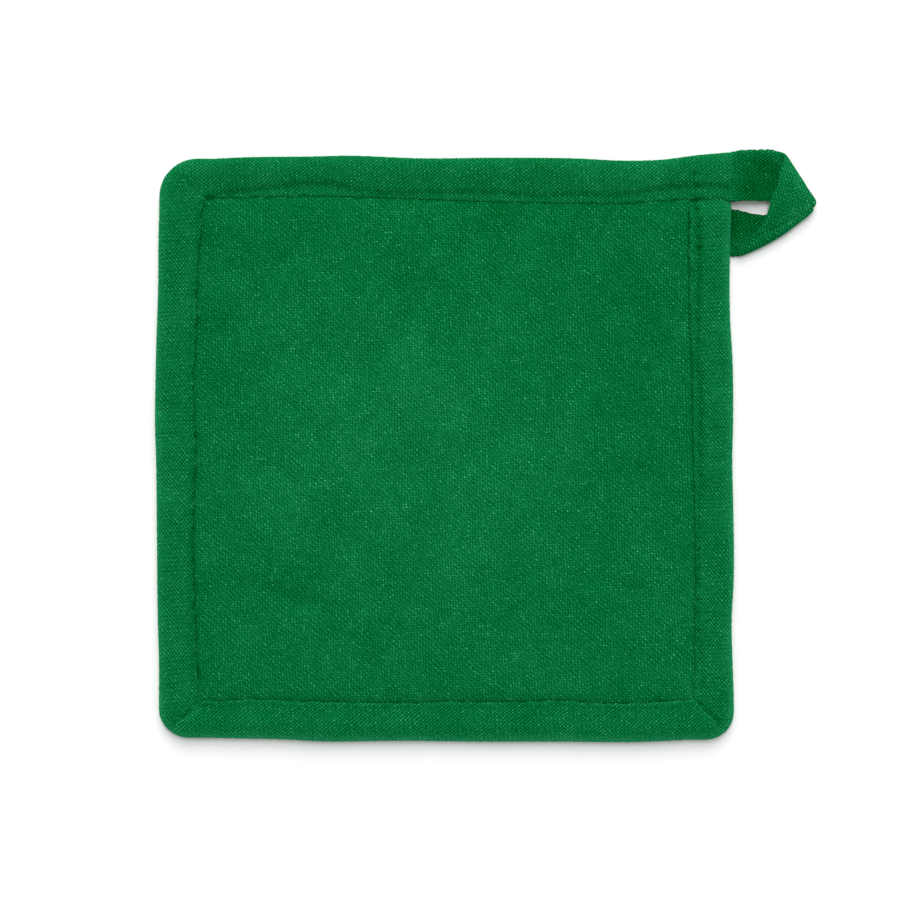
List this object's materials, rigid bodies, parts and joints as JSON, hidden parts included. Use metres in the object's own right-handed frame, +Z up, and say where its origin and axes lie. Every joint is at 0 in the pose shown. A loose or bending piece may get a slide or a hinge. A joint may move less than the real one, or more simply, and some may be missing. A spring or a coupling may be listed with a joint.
{
  "type": "pot holder",
  "caption": "Square padded cloth pot holder with a bias-bound edge and a hanging loop at one corner, lying flat.",
  "frame": {"origin": "middle of the pad's flat underside, on the surface that it rests on", "axes": "+Z up through the thickness, +Y towards the side whose tape runs on as the loop, +X towards the side that the loop stands out of"},
  "size_m": [0.2295, 0.206, 0.0078],
  "materials": {
    "panel_cloth": "matt plain weave, deep green",
    "binding_cloth": "matt plain weave cut on the bias, deep green"
  },
  "bodies": {
    "root": {"pad": "panel_cloth", "binding": "binding_cloth", "hanging_loop": "binding_cloth"}
  },
  "joints": []
}
